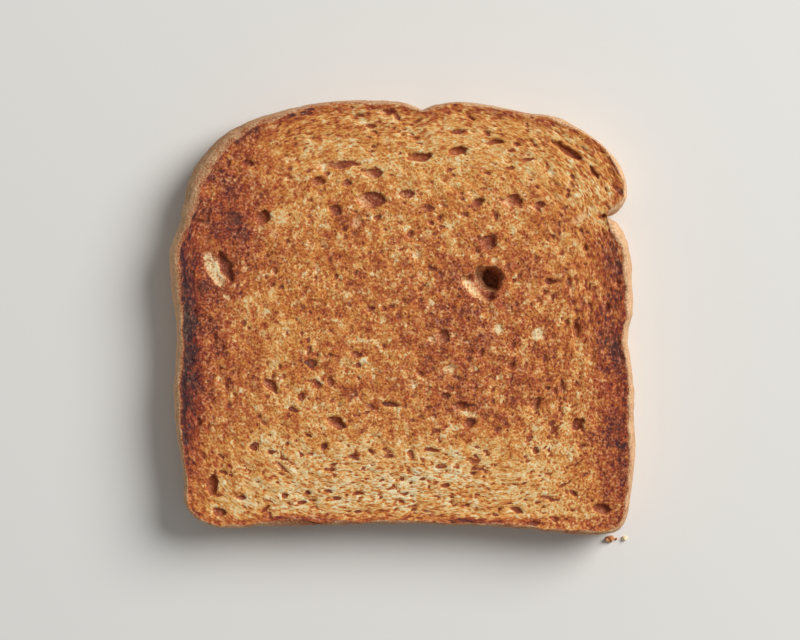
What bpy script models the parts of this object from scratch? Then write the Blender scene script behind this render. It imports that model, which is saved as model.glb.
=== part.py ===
"""A slice of tin-baked sandwich bread, toasted until its two sides scorched, lying flat on its underside.

The slice is one solid: a face of open crumb with the bubbles that baking left in it, a crust that rolls over
round the edge, and a flat underside. The origin is on the underside, at the middle of the slice's box; +Z is
up, +Y runs to the domed crown and +X to the side with the deep fold.
"""

import math
import random

import bmesh
import bpy
import numpy as np
from mathutils import Vector, geometry, noise

MM = 0.001

# The driving dimensions: a slice from a large sandwich loaf.
SLICE_WIDTH = 116.9 * MM
THICKNESS = 12.5 * MM

# The outline and the large bubbles are given for a slice 116.9 mm wide; this unit fits them to the width.
UNIT = SLICE_WIDTH / 116.9

# The crust's wall, seen from the side.
BELLY_HEIGHT = 0.42 * THICKNESS
TUCK = 1.2 * MM
WALL_STEP = 2.3 * MM
ROLL_ANGLES = (62, 40, 20, 0)
TUCK_ANGLES = (36, 66, 90)
CRUST_WRINKLE = 0.22 * MM
CRUST_WRINKLE_SIZE = 5.0 * MM

# The crumb's face.
FACE_STEP = 3.1 * MM
FACE_SINK = 0.45 * MM
FACE_SWELL = 0.3 * MM
FACE_SWELL_SIZE = 26.0 * MM
CRAG = 0.16 * MM
CRAG_SIZE = 3.0 * MM
CRUST_EDGE = 3.0 * MM
RING_POWER = 4

# The bubbles that are too many to place one by one.
FACE_BUBBLES = 180
UNDERSIDE_BUBBLES = 26
SMALLEST_BUBBLE = 1.5 * MM
LARGEST_BUBBLE = 4.2 * MM
BUBBLE_WALL = 0.5 * MM
UNDERSIDE_STEP = 9.0 * MM
REST_PATCH = 12.0 * MM

# The outline, anticlockwise seen from above, in units: x, y and roll, which is how far inside the outline the
# cut face begins. The crust is creased where one stretch meets the next.
CROWN_FOLD = (4.9, 51.9, 1.0)
LEFT_FOLD = (-55.9, 24.1, 2.9)
RIGHT_FOLD = (50.9, 25.2, 1.1)
CROWN_LEFT = (
    CROWN_FOLD,
    (0.0, 54.0, 1.0),
    (-9.6, 54.5, 1.1),
    (-20.2, 53.9, 1.3),
    (-35.8, 50.5, 2.5),
    (-45.4, 45.4, 3.4),
    (-52.5, 37.4, 4.3),
    (-55.4, 27.8, 3.9),
    LEFT_FOLD,
)
TIN_SIDES = (
    LEFT_FOLD,
    (-58.4, 17.2, 2.8),
    (-58.3, 9.1, 2.9),
    (-57.0, -2.0, 2.5),
    (-57.4, -18.2, 2.2),
    (-56.7, -30.3, 1.5),
    (-54.7, -41.0, 1.1),
    (-54.8, -46.2, 1.2),
    (-52.1, -50.4, 1.0),
    (-45.7, -52.8, 0.9),
    (-36.9, -52.6, 1.1),
    (-28.3, -52.4, 2.1),
    (-18.2, -52.1, 1.0),
    (-1.5, -51.9, 0.9),
    (20.2, -52.5, 1.6),
    (41.4, -54.3, 1.0),
    (51.0, -54.4, 1.1),
    (55.4, -51.9, 1.4),
    (57.6, -42.8, 1.7),
    (58.4, -33.3, 2.0),
    (57.9, -16.2, 2.2),
    (56.7, -5.3, 1.8),
    (58.0, 3.0, 2.4),
    (57.0, 16.7, 2.8),
    (54.1, 23.4, 2.7),
    RIGHT_FOLD,
)
CROWN_RIGHT = (
    RIGHT_FOLD,
    (54.4, 26.8, 1.9),
    (56.5, 31.8, 1.8),
    (53.1, 40.4, 1.4),
    (41.4, 49.1, 1.1),
    (30.3, 51.7, 0.9),
    (16.2, 54.1, 0.9),
    (8.7, 53.4, 0.9),
    CROWN_FOLD,
)

# The bubbles large enough to know the slice by, in units and degrees: x, y, length, width, turn, depth.
LARGE_BUBBLES = (
    (20.6, 8.6, 10.5, 7.2, -42, 9.0),
    (-45.3, 10.9, 11.0, 4.6, -60, 3.6),
    (-8.0, 29.2, 8.2, 4.6, -4, 2.2),
    (28.2, 29.2, 5.6, 3.0, 4, 2.2),
    (18.3, 28.8, 3.8, 2.3, 22, 1.6),
    (41.2, 42.0, 9.2, 2.0, -33, 2.2),
    (47.9, 35.9, 4.8, 1.3, -46, 1.5),
    (4.0, 40.2, 7.0, 2.2, 3, 2.2),
    (13.5, 41.6, 6.0, 2.0, 7, 2.0),
    (23.3, 43.9, 4.0, 1.7, 0, 1.8),
    (-8.0, 47.8, 3.2, 1.3, 0, 1.2),
    (-16.0, 38.2, 11.5, 1.8, 2, 1.0),
    (-7.5, 36.2, 4.6, 2.2, 0, 1.0),
    (-17.0, 27.0, 3.2, 2.8, 0, 1.7),
    (-35.0, 25.4, 4.3, 3.3, 68, 2.2),
    (-39.0, 38.6, 3.6, 2.0, -8, 1.4),
    (21.5, 19.0, 4.4, 3.8, 30, 2.0),
    (36.6, 9.0, 2.4, 2.2, 0, 2.0),
    (43.8, -3.0, 5.4, 1.8, 96, 1.8),
    (10.4, -4.8, 4.2, 3.6, 60, 1.6),
    (12.4, -11.8, 5.4, 3.4, 10, 1.6),
    (14.3, -22.0, 5.2, 2.1, 0, 2.2),
    (17.0, -26.6, 3.8, 2.6, 20, 1.8),
    (33.5, -21.4, 3.8, 2.2, 62, 1.8),
    (44.4, -26.8, 3.0, 2.7, 30, 2.2),
    (37.5, -28.2, 3.4, 1.6, 36, 1.4),
    (-32.6, -17.2, 6.0, 2.1, -54, 1.6),
    (-16.4, -27.0, 6.8, 3.0, -25, 1.9),
    (-3.0, -21.8, 3.8, 1.5, -6, 1.8),
    (-47.8, -41.8, 5.4, 2.9, 84, 2.4),
    (-46.0, -48.2, 3.6, 2.4, -12, 1.6),
    (-29.6, -38.0, 6.4, 1.2, -42, 1.0),
    (49.8, -48.0, 4.6, 2.6, -14, 2.0),
    (29.0, -48.2, 4.2, 1.6, -14, 1.3),
    (18.0, -36.0, 4.2, 1.7, 0, 1.0),
)


def curve_through(landmarks, steps=24):
    """Points of a Catmull-Rom curve through the landmarks, whose ends are mirrored so that it leaves them freely."""
    knots = [Vector(landmark) for landmark in landmarks]
    knots.insert(0, 2 * knots[0] - knots[1])
    knots.append(2 * knots[-1] - knots[-2])
    points = []
    for before, start, end, after in zip(knots, knots[1:], knots[2:], knots[3:]):
        for step in range(steps):
            t = step / steps
            points.append(
                0.5
                * (
                    2 * start
                    + (end - before) * t
                    + (2 * before - 5 * start + 4 * end - after) * t**2
                    + (3 * start - before - 3 * end + after) * t**3
                )
            )
    return points + [knots[-2]]


def evenly_spaced(points, spacing):
    """The open line through the points, cut again into equal lengths of about the spacing, without its last point."""
    lengths = [(b.xy - a.xy).length for a, b in zip(points, points[1:])]
    cuts = round(sum(lengths) / spacing)
    step = sum(lengths) / cuts
    result, walked, index = [], 0.0, 0
    for cut in range(cuts):
        target = cut * step
        while walked + lengths[index] < target:
            walked += lengths[index]
            index += 1
        result.append(points[index].lerp(points[index + 1], (target - walked) / lengths[index]))
    return result


def slice_outline():
    """The outline as (point, roll) pairs in metres."""
    line = []
    for stretch in (CROWN_LEFT, TIN_SIDES, CROWN_RIGHT):
        line += evenly_spaced(curve_through(stretch), WALL_STEP / UNIT)
    return [(point.xy * UNIT, point.z * UNIT) for point in line]


def inward_normals(outline):
    """For each outline point, the unit vector into the slice: the chord of its two neighbours turned left."""
    normals = []
    for index, (point, _) in enumerate(outline):
        chord = outline[(index + 1) % len(outline)][0] - outline[index - 1][0]
        normals.append(Vector((-chord.y, chord.x)).normalized())
    return normals


def ring_share(x, y):
    """0 at the middle of the slice and about 1 at its crust: the size of the rounded square through the point."""
    half = SLICE_WIDTH / 2
    return ((abs(x) / half) ** RING_POWER + (abs(y) / (0.93 * half)) ** RING_POWER) ** (1 / RING_POWER)


def grain_turn(x, y):
    """The angle in which the crumb's bubbles are drawn out: along the rounded square through the point."""
    slope_x = math.copysign(abs(x) ** (RING_POWER - 1), x)
    slope_y = math.copysign(abs(y) ** (RING_POWER - 1), y)
    return math.atan2(-slope_x, slope_y)


class Bubble:
    """A hollow in a face, its edge an ellipse that is a little out of true."""

    def __init__(self, x, y, length, width, turn, depth):
        self.centre = Vector((x, y))
        self.half_length = length / 2
        self.half_width = width / 2
        self.cosine = math.cos(turn)
        self.sine = math.sin(turn)
        self.depth = depth
        self.phase = (x + 2 * y) / MM

    def edge(self, angle):
        """How far out the edge lies at an angle, as a share of the true ellipse."""
        return 1 + 0.09 * math.sin(2 * angle + self.phase) + 0.07 * math.sin(3 * angle - self.phase)

    def shares(self, x, y):
        """A point's distances along and across the hollow, as shares of its half length and half width."""
        dx, dy = x - self.centre.x, y - self.centre.y
        along = (dx * self.cosine + dy * self.sine) / self.half_length
        across = (dy * self.cosine - dx * self.sine) / self.half_width
        return along, across

    def gap(self, x, y):
        """About how far a point lies outside the ellipse; less than 0 inside it."""
        along, across = self.shares(x, y)
        reach = math.hypot(along, across)
        steepness = math.hypot(along / self.half_length, across / self.half_width)
        return (reach - 1) * reach / steepness if steepness else -self.half_width

    def sink(self, x, y):
        """How deep the hollow is at a point: steep at its edge and round at its floor."""
        along, across = self.shares(x, y)
        if along**2 + across**2 > 1.4:
            return 0.0
        reach = math.hypot(along, across) / self.edge(math.atan2(across, along))
        return self.depth * (1 - reach**2) ** 0.7 if reach < 1 else 0.0

    def ring(self, share, sides, offset=0.0):
        """Points round the hollow at a share of its size."""
        points = []
        for side in range(sides):
            angle = 2 * math.pi * (side + offset) / sides
            along = share * self.half_length * math.cos(angle) * self.edge(angle)
            across = share * self.half_width * math.sin(angle) * self.edge(angle)
            points.append(
                self.centre
                + Vector((along * self.cosine - across * self.sine, along * self.sine + across * self.cosine))
            )
        return points

    def rings(self):
        """The rings that draw the hollow: its edge, its shoulder if it is a large one, and its floor."""
        if self.half_length < 1.3 * MM:
            return [self.ring(1.0, 6), [self.centre]]
        if self.half_length < 2.3 * MM:
            return [self.ring(1.0, 8), self.ring(0.62, 4, 0.5), [self.centre]]
        sides = 14 if self.half_length > 3.5 * MM else 10
        floor = self.ring(0.4, 6) if self.half_width > 1.8 * MM else [self.centre]
        return [self.ring(1.0, sides), self.ring(0.76, sides, 0.5), floor]


def scattered_bubbles(count, seed, taken, inside):
    """Bubbles drawn at random, the largest first, each clear of the others and drawn out along the grain."""
    draw = random.Random(seed)
    bubbles = list(taken)
    half = SLICE_WIDTH / 2
    for index in range(count):
        length = LARGEST_BUBBLE + (SMALLEST_BUBBLE - LARGEST_BUBBLE) * (index / count) ** 0.6
        for _ in range(60):
            x, y = draw.uniform(-half, half), draw.uniform(-half, half)
            if not inside(x, y, length / 2 + 0.6 * MM):
                continue
            if any(bubble.gap(x, y) < length / 2 + BUBBLE_WALL for bubble in bubbles):
                continue
            drawn_out = ring_share(x, y) ** 2
            width = length * (0.75 - 0.42 * drawn_out * draw.uniform(0.8, 1.1))
            turn = grain_turn(x, y) + draw.gauss(0, 0.3 * (1 - 0.7 * drawn_out))
            bubbles.append(Bubble(x, y, length, width, turn, draw.uniform(0.35, 0.6) * length))
            break
    return bubbles[len(taken):]


def face_height(x, y, bubbles):
    """The height of the toasted face: proud along the crust, a little sunk and swelling inside, with its hollows."""
    inside_crust = min(1.0, max(0.0, (1 - ring_share(x, y)) * SLICE_WIDTH / 2 / CRUST_EDGE))
    swell = noise.noise(Vector((x, y, 0.0)) / FACE_SWELL_SIZE) * FACE_SWELL
    crag = noise.noise(Vector((x, y, 7.0)) / CRAG_SIZE) * CRAG
    hollow = max((bubble.sink(x, y) for bubble in bubbles), default=0.0)
    return THICKNESS - inside_crust * (FACE_SINK - swell) + crag * inside_crust - hollow


def underside_height(x, y, bubbles):
    """The height of the underside: flat on what it lies on, but for its hollows."""
    return max((bubble.sink(x, y) for bubble in bubbles), default=0.0)


def crust_rings(outline):
    """The crust's wall as rings of points from the face's edge, over the belly, to the underside's edge."""
    normals = inward_normals(outline)
    top = math.radians(ROLL_ANGLES[0])
    rings = []
    for angle in map(math.radians, ROLL_ANGLES):
        lean = (1 - math.cos(angle)) / (1 - math.cos(top))
        height = BELLY_HEIGHT + (THICKNESS - BELLY_HEIGHT) * math.sin(angle) / math.sin(top)
        rings.append([(point + normal * roll * lean, height) for (point, roll), normal in zip(outline, normals)])
    for angle in TUCK_ANGLES:
        lean, drop = 1 - math.cos(math.radians(angle)), math.sin(math.radians(angle))
        height = BELLY_HEIGHT * (1 - drop)
        rings.append([(point + normal * TUCK * lean, height) for (point, _), normal in zip(outline, normals)])
    return [wrinkled(ring, normals) for ring in rings]


def wrinkled(ring, normals):
    """The ring with each point drawn in by the crust's wrinkles, most at the belly and not at all at the edges."""
    result = []
    for (point, height), normal in zip(ring, normals):
        freedom = math.sin(math.pi * height / THICKNESS)
        place = Vector((point.x, point.y, 2 * height)) / CRUST_WRINKLE_SIZE
        pull = CRUST_WRINKLE * freedom * (0.5 + 0.5 * noise.noise(place))
        moved = point + normal * pull
        result.append(Vector((moved.x, moved.y, height)))
    return result


def clearance(ring):
    """A function that says whether a point lies inside the ring by at least a margin."""
    starts = np.array([point.xy for point in ring])
    edges = np.roll(starts, -1, axis=0) - starts
    lengths_squared = (edges**2).sum(axis=1)

    def inside(x, y, margin):
        to_point = np.array((x, y)) - starts
        shares = np.clip((to_point * edges).sum(axis=1) / lengths_squared, 0, 1)
        if np.hypot(*(to_point - shares[:, None] * edges).T).min() < margin:
            return False
        straddles = (to_point[:, 1] < 0) != (to_point[:, 1] < edges[:, 1])
        crossed = (to_point[:, 0] * edges[:, 1] < to_point[:, 1] * edges[:, 0]) == (edges[:, 1] > 0)
        return np.count_nonzero(straddles & crossed) % 2 == 1

    return inside


def field_points(spacing, bubbles, inside):
    """A triangular field of points over the slice, left out where a bubble has points of its own."""
    row_height = spacing * math.sin(math.radians(60))
    rows = round(SLICE_WIDTH / row_height)
    points = []
    for row in range(-rows // 2, rows // 2 + 1):
        for column in range(-rows // 2, rows // 2 + 1):
            x = (column + 0.5 * (row % 2)) * spacing
            y = row * row_height
            if inside(x, y, 0.55 * spacing) and all(bubble.gap(x, y) > 0.4 * spacing for bubble in bubbles):
                points.append(Vector((x, y)))
    return points


def fill_face(mesh, rim, bubbles, field, height):
    """Fills the ring of mesh vertices with triangles, drawing the bubbles' rings and the field of points between."""
    flat = [vertex.co.xy for vertex in rim]
    edges = []
    for ring in [ring for bubble in bubbles for ring in bubble.rings()]:
        if len(ring) > 1:
            edges += [(len(flat) + side, len(flat) + (side + 1) % len(ring)) for side in range(len(ring))]
        flat += ring
    flat += field
    found = geometry.delaunay_2d_cdt(flat, edges, [list(range(len(rim)))], 1, 1e-7)
    places, _, triangles, origins = found[:4]
    vertices = []
    for place, origin in zip(places, origins):
        if origin and min(origin) < len(rim):
            vertices.append(rim[min(origin)])
        else:
            vertices.append(mesh.verts.new((place.x, place.y, height(place.x, place.y))))
    for triangle in triangles:
        mesh.faces.new([vertices[corner] for corner in triangle])


def place_on_origin(mesh):
    """Centres the slice's box on the origin."""
    xs = [vertex.co.x for vertex in mesh.verts]
    ys = [vertex.co.y for vertex in mesh.verts]
    centre = Vector(((min(xs) + max(xs)) / 2, (min(ys) + max(ys)) / 2, 0.0))
    bmesh.ops.translate(mesh, vec=-centre, verts=mesh.verts)


def build_toast():
    """The whole slice as one mesh: the crust's rings bridged together, then the face and the underside filled."""
    outline = slice_outline()
    rings = crust_rings(outline)
    in_face, in_underside = clearance(rings[0]), clearance(rings[-1])

    large = [
        Bubble(x * UNIT, y * UNIT, length * UNIT, width * UNIT, math.radians(turn), depth * UNIT)
        for x, y, length, width, turn, depth in LARGE_BUBBLES
    ]
    bubbles = large + scattered_bubbles(FACE_BUBBLES, 3, large, in_face)
    rest_patch = Bubble(0.0, 0.0, REST_PATCH, REST_PATCH, 0.0, 0.0)
    keep_clear = [rest_patch] + large[:2]
    pits = scattered_bubbles(UNDERSIDE_BUBBLES, 11, keep_clear, in_underside)

    mesh = bmesh.new()
    loops = [[mesh.verts.new(point) for point in ring] for ring in rings]
    for upper, lower in zip(loops, loops[1:]):
        for index in range(len(upper)):
            mesh.faces.new((upper[index - 1], lower[index - 1], lower[index], upper[index]))

    field = field_points(FACE_STEP, bubbles, in_face)
    fill_face(mesh, loops[0], bubbles, field, lambda x, y: face_height(x, y, bubbles))
    field = field_points(UNDERSIDE_STEP, pits, in_underside)
    fill_face(mesh, loops[-1], pits, field, lambda x, y: underside_height(x, y, pits))
    bmesh.ops.triangulate(mesh, faces=mesh.faces)
    bmesh.ops.recalc_face_normals(mesh, faces=mesh.faces)
    place_on_origin(mesh)

    data = bpy.data.meshes.new("toast")
    mesh.to_mesh(data)
    mesh.free()
    return data


def toasted_bread():
    """Browned crumb and crust: warm brown, dry and matte."""
    material = bpy.data.materials.new("toasted_bread")
    material.use_nodes = True
    shader = material.node_tree.nodes["Principled BSDF"]
    shader.inputs["Base Color"].default_value = (0.42, 0.17, 0.055, 1.0)
    shader.inputs["Roughness"].default_value = 0.8
    shader.inputs["Metallic"].default_value = 0.0
    return material


for obj in list(bpy.data.objects):
    bpy.data.objects.remove(obj)
toast = bpy.data.objects.new("toast", build_toast())
toast.data.materials.append(toasted_bread())
bpy.context.scene.collection.objects.link(toast)
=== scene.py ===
"""A slice of tin-baked sandwich bread, toasted until both sides scorched, with its crumbs beside it."""

import math

import bpy
import numpy as np
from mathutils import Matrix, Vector


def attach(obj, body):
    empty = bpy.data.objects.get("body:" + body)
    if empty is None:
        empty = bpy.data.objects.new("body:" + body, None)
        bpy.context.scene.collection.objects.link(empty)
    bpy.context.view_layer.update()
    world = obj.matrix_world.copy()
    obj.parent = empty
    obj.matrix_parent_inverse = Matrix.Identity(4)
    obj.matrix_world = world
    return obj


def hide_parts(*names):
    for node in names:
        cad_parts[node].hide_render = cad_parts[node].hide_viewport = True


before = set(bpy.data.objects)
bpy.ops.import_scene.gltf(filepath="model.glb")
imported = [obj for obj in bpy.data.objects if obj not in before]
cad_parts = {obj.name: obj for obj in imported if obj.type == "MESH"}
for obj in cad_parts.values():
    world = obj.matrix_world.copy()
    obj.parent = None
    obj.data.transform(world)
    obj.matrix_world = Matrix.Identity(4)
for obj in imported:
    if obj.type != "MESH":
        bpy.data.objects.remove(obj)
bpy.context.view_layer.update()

# The slice's edge. The loaf was baked in an open tin, so its foot and sides are nearly straight and its crown
# swelled out over the tin's rim. The crust folded where the dough left the tin, and once more on the crown.

# Anticlockwise seen from above, in millimetres: x, y and how far inside the outline the cut face begins.
CROWN_FOLD = (4.9, 51.9, 1.0)
LEFT_FOLD = (-55.9, 24.1, 2.9)
RIGHT_FOLD = (50.9, 25.2, 1.1)
CROWN_LEFT = (
    CROWN_FOLD,
    (0.0, 54.0, 1.0),
    (-9.6, 54.5, 1.1),
    (-20.2, 53.9, 1.3),
    (-35.8, 50.5, 2.5),
    (-45.4, 45.4, 3.4),
    (-52.5, 37.4, 4.3),
    (-55.4, 27.8, 3.9),
    LEFT_FOLD,
)
TIN_SIDES = (
    LEFT_FOLD,
    (-58.4, 17.2, 2.8),
    (-58.3, 9.1, 2.9),
    (-57.0, -2.0, 2.5),
    (-57.4, -18.2, 2.2),
    (-56.7, -30.3, 1.5),
    (-54.7, -41.0, 1.1),
    (-54.8, -46.2, 1.2),
    (-52.1, -50.4, 1.0),
    (-45.7, -52.8, 0.9),
    (-36.9, -52.6, 1.1),
    (-28.3, -52.4, 2.1),
    (-18.2, -52.1, 1.0),
    (-1.5, -51.9, 0.9),
    (20.2, -52.5, 1.6),
    (41.4, -54.3, 1.0),
    (51.0, -54.4, 1.1),
    (55.4, -51.9, 1.4),
    (57.6, -42.8, 1.7),
    (58.4, -33.3, 2.0),
    (57.9, -16.2, 2.2),
    (56.7, -5.3, 1.8),
    (58.0, 3.0, 2.4),
    (57.0, 16.7, 2.8),
    (54.1, 23.4, 2.7),
    RIGHT_FOLD,
)
CROWN_RIGHT = (
    RIGHT_FOLD,
    (54.4, 26.8, 1.5),
    (56.5, 31.8, 1.4),
    (53.1, 40.4, 1.1),
    (41.4, 49.1, 0.9),
    (30.3, 51.7, 0.9),
    (16.2, 54.1, 0.9),
    (8.7, 53.4, 0.9),
    CROWN_FOLD,
)
# Where the outline is cut into the four sides of the face's grid, and how many squares lie along each side.
FACE_CORNERS = ((-50.5, 39.9), (-53.6, -49.2), (54.3, -53.2), (53.1, 40.4))
FACE_SQUARES = 252


def curve_through(landmarks, steps=24):
    """Catmull-Rom: cubics through the landmarks, leaving each along half the chord of its two neighbours."""
    knots = np.array(landmarks)
    knots = np.vstack([2 * knots[0] - knots[1], knots, 2 * knots[-1] - knots[-2]])
    before, start, end, after = (knots[shift : len(knots) - 3 + shift, None] for shift in range(4))
    t = np.linspace(0, 1, steps, endpoint=False)[None, :, None]
    spans = 0.5 * (
        2 * start
        + (end - before) * t
        + (2 * before - 5 * start + 4 * end - after) * t**2
        + (3 * start - before - 3 * end + after) * t**3
    )
    return spans.reshape(-1, 3)


def four_sides(loop, corners, squares):
    """The loop cut at the points nearest the corners, and each side cut again into equal lengths."""
    starts = [int(np.hypot(*(loop[:, :2] - corner).T).argmin()) for corner in corners]
    sides = []
    for first, last in zip(starts, starts[1:] + starts[:1]):
        side = np.roll(loop, -first, axis=0)[: (last - first) % len(loop) + 1]
        walked = np.append(0, np.cumsum(np.hypot(*np.diff(side[:, :2], axis=0).T)))
        cuts = np.linspace(0, walked[-1], squares, endpoint=False)
        sides.append(np.stack([np.interp(cuts, walked, column) for column in side.T], axis=1))
    return np.concatenate(sides)


drawn = np.concatenate([curve_through(stretch) for stretch in (CROWN_LEFT, TIN_SIDES, CROWN_RIGHT)])
outline = four_sides(drawn, FACE_CORNERS, FACE_SQUARES)
edge, roll = outline[:, :2], outline[:, 2:]
# The way into the slice: a quarter turn from the chord between the points two steps before and after.
chord = np.roll(edge, -2, axis=0) - np.roll(edge, 2, axis=0)
inward = np.stack([-chord[:, 1], chord[:, 0]], axis=1) / np.hypot(*chord.T)[:, None]

# The crumb. Dough full of gas bubbles sets into a web of thin cell walls. The knife opens the bubbles, and
# the heat dries the web. Near the crust the bubbles are drawn out along it, as the dough was rolled up.

# A field is a grid of numbers over the slice, FIELD_STEP millimetres apart, from a corner at its lower left.
FIELD_STEP = 0.2
FIELD_LEFT, FIELD_FOOT = -60.0, -57.0
FIELD_SHAPE = (570, 600)
# About half the slice's width and height.
HALF_WIDTH, HALF_HEIGHT = 58.5, 54.5
# How square the rings of the grain are in each part of the slice. 2 would be an ellipse.
CROWN_POWER, LEFT_FOOT_POWER, RIGHT_FOOT_POWER = 2.6, 3.2, 5.0
# How wide the bell is that blurs noise into patches, as a share of a patch.
BELL_SHARE = 0.4
field_y = FIELD_FOOT + FIELD_STEP * np.arange(FIELD_SHAPE[0])[:, None]
field_x = FIELD_LEFT + FIELD_STEP * np.arange(FIELD_SHAPE[1])[None]


def corner_power(x, y):
    """How square the rings of the grain are at each place."""
    return np.where(y > 0, CROWN_POWER, np.where(x < 0, LEFT_FOOT_POWER, RIGHT_FOOT_POWER))


def ring_share(x, y):
    """0 in the middle, 1 at the crust: (|x|^p + |y|^p)^(1/p), x and y in half sizes, p from corner_power."""
    power = corner_power(x, y)
    return ((np.abs(x) / HALF_WIDTH) ** power + (np.abs(y) / HALF_HEIGHT) ** power) ** (1 / power)


def grain_turn(x, y):
    """The way the bubbles are drawn out: square to the steepest rise of ring_share."""
    power = corner_power(x, y) - 1
    rise_x = np.sign(x) * (np.abs(x) / HALF_WIDTH) ** power / HALF_WIDTH
    rise_y = np.sign(y) * (np.abs(y) / HALF_HEIGHT) ** power / HALF_HEIGHT
    return np.arctan2(-rise_x, rise_y)


def mottle(shape, step, patch, seed):
    """Even random patches: white noise blurred by a bell, then scaled to an average swing of 1."""
    rows, columns = (np.fft.fftfreq(count, size) for count, size in zip(shape, step))
    waves = (rows[:, None] * patch[0]) ** 2 + (columns * patch[1]) ** 2
    bell = np.exp(-2 * (BELL_SHARE * np.pi) ** 2 * waves)
    white = np.random.default_rng(seed).standard_normal(shape)
    field = np.fft.ifft2(np.fft.fft2(white) * bell).real
    return field / field.std()


def field_mottle(patch, seed):
    """The same patches over the whole slice, patch millimetres across."""
    return mottle(FIELD_SHAPE, (FIELD_STEP, FIELD_STEP), (patch, patch), seed)


def at(field, x, y):
    """Reads a field between its squares: each of the four nearest counts by how near the point is."""
    column = np.clip((x - FIELD_LEFT) / FIELD_STEP, 0, FIELD_SHAPE[1] - 1.001)
    row = np.clip((y - FIELD_FOOT) / FIELD_STEP, 0, FIELD_SHAPE[0] - 1.001)
    i, j = row.astype(int), column.astype(int)
    v, u = row - i, column - j
    low = field[i, j] * (1 - u) + field[i, j + 1] * u
    high = field[i + 1, j] * (1 - u) + field[i + 1, j + 1] * u
    return low * (1 - v) + high * v


def drawn_out(field, length):
    """The field averaged along the grain: over an eighth of length in the middle and all of it at the rim."""
    turn = grain_turn(field_x, field_y)
    reach = length * np.clip(ring_share(field_x, field_y), 0.25, 1) ** 1.5
    shifts = np.linspace(-0.5, 0.5, 13)
    along, up = reach * np.cos(turn), reach * np.sin(turn)
    total = sum(at(field, field_x + shift * along, field_y + shift * up) for shift in shifts)
    return total / total.std()


def rising(value, start, length):
    """0 up to start and 1 past start + length, with an even rise between."""
    return np.clip((value - start) / length, 0, 1)


# The web tears unevenly: before a hollow's edge is drawn, places on it are shifted by this many millimetres.
TEAR = 0.17
torn_x = field_x + TEAR * field_mottle(1.4, 23)
torn_y = field_y + TEAR * field_mottle(1.4, 24)
# A hollow up to SHALLOW millimetres deep lies over any other. Its paleness fills it, as it does in a funnel,
# over DEEP. In the rest the paleness keeps to the lower left wall, which faces the light, as painted light,
# and the wall towards the bearing below, up and right, is painted in shade.
SHALLOW, DEEP = 0.3, 5.0
SHADED_WALL_BEARING = math.radians(37)
LIT_WALL_START, LIT_WALL_RISE = 0.05, 1.8
# How steep a hollow's wall is, as a bowl and as a funnel, and how sharply its outline is drawn to a point.
BOWL_RISE, FUNNEL_RISE, POINT_POWER = 2.5, 1.7, 1.3
# A floor is painted darker by DARK_RISE for each millimetre of depth, up to 1: browner crumb and painted
# shade in the recess. It is given DARK_LOSS less for each, down to LOSS_DEPTH, because it also lies in shade.
DARK_RISE, DARK_LOSS, LOSS_DEPTH = 3, 0.15, 1.5
# How far from a hollow's middle the fields are worked on, in its lengths.
WINDOW_REACH = 0.7


def press(hollows):
    """Four fields with the hollows pressed in: their depth, about how far inside an outline a place lies, how
    dark the floor is and how pale. An outline is where 1 - along^2 - |across|^POINT_POWER is 0, along and
    across in half sizes. A bowl's wall rises as the root of that, and its floor is flat."""
    sink, opening, dark, pale = np.zeros((4,) + FIELD_SHAPE)
    opening -= 1
    for x, y, length, width, turn, depth, paleness in hollows:
        reach = WINDOW_REACH * length
        across_field = np.searchsorted(field_x[0], (x - reach, x + reach))
        up_field = np.searchsorted(field_y[:, 0], (y - reach, y + reach))
        window = (slice(*up_field), slice(*across_field))
        dx, dy = torn_x[window] - x, torn_y[window] - y
        along = (dx * math.cos(turn) + dy * math.sin(turn)) / (length / 2)
        across = (dy * math.cos(turn) - dx * math.sin(turn)) / (width / 2)
        inside = 1 - along**2 - np.abs(across) ** POINT_POWER
        within = 0.4 * width * inside
        wall_rise = FUNNEL_RISE * inside if depth > DEEP else (BOWL_RISE * inside).clip(0) ** 0.5
        hollow = depth * np.clip(wall_rise, 0, 1)
        cosine, sine = math.cos(turn - SHADED_WALL_BEARING), math.sin(turn - SHADED_WALL_BEARING)
        span = math.hypot(length / 2 * cosine, width / 2 * sine)
        side = (dx * math.cos(SHADED_WALL_BEARING) + dy * math.sin(SHADED_WALL_BEARING)) / span
        middling = SHALLOW < depth < DEEP
        # Painted light and shade: paleness stays on the lit lower left wall, and the upper right wall keeps
        # the darker floor as painted shade.
        lit_wall_share = np.clip(LIT_WALL_START - LIT_WALL_RISE * side, 0, 1) if middling else 1.0
        # A floor's darkness grows with depth: browner crumb and painted shade in the recess.
        darkness = min(1, DARK_RISE * depth) * (1 - DARK_LOSS * min(depth, LOSS_DEPTH))
        deeper = (hollow > sink[window]) | (depth < SHALLOW)
        wins = np.where(within > 0, deeper, within > opening[window])
        dark[window] = np.where(wins, (1 - paleness * lit_wall_share) * darkness, dark[window])
        pale[window] = np.where(wins, paleness * lit_wall_share, pale[window])
        opening[window] = np.maximum(opening[window], within)
        sink[window] = np.maximum(sink[window], hollow)
    return sink, opening, dark, pale


# Hollows are scattered a little past the slice's edge.
SCATTER_X, SCATTER_Y = 59, 55


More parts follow.
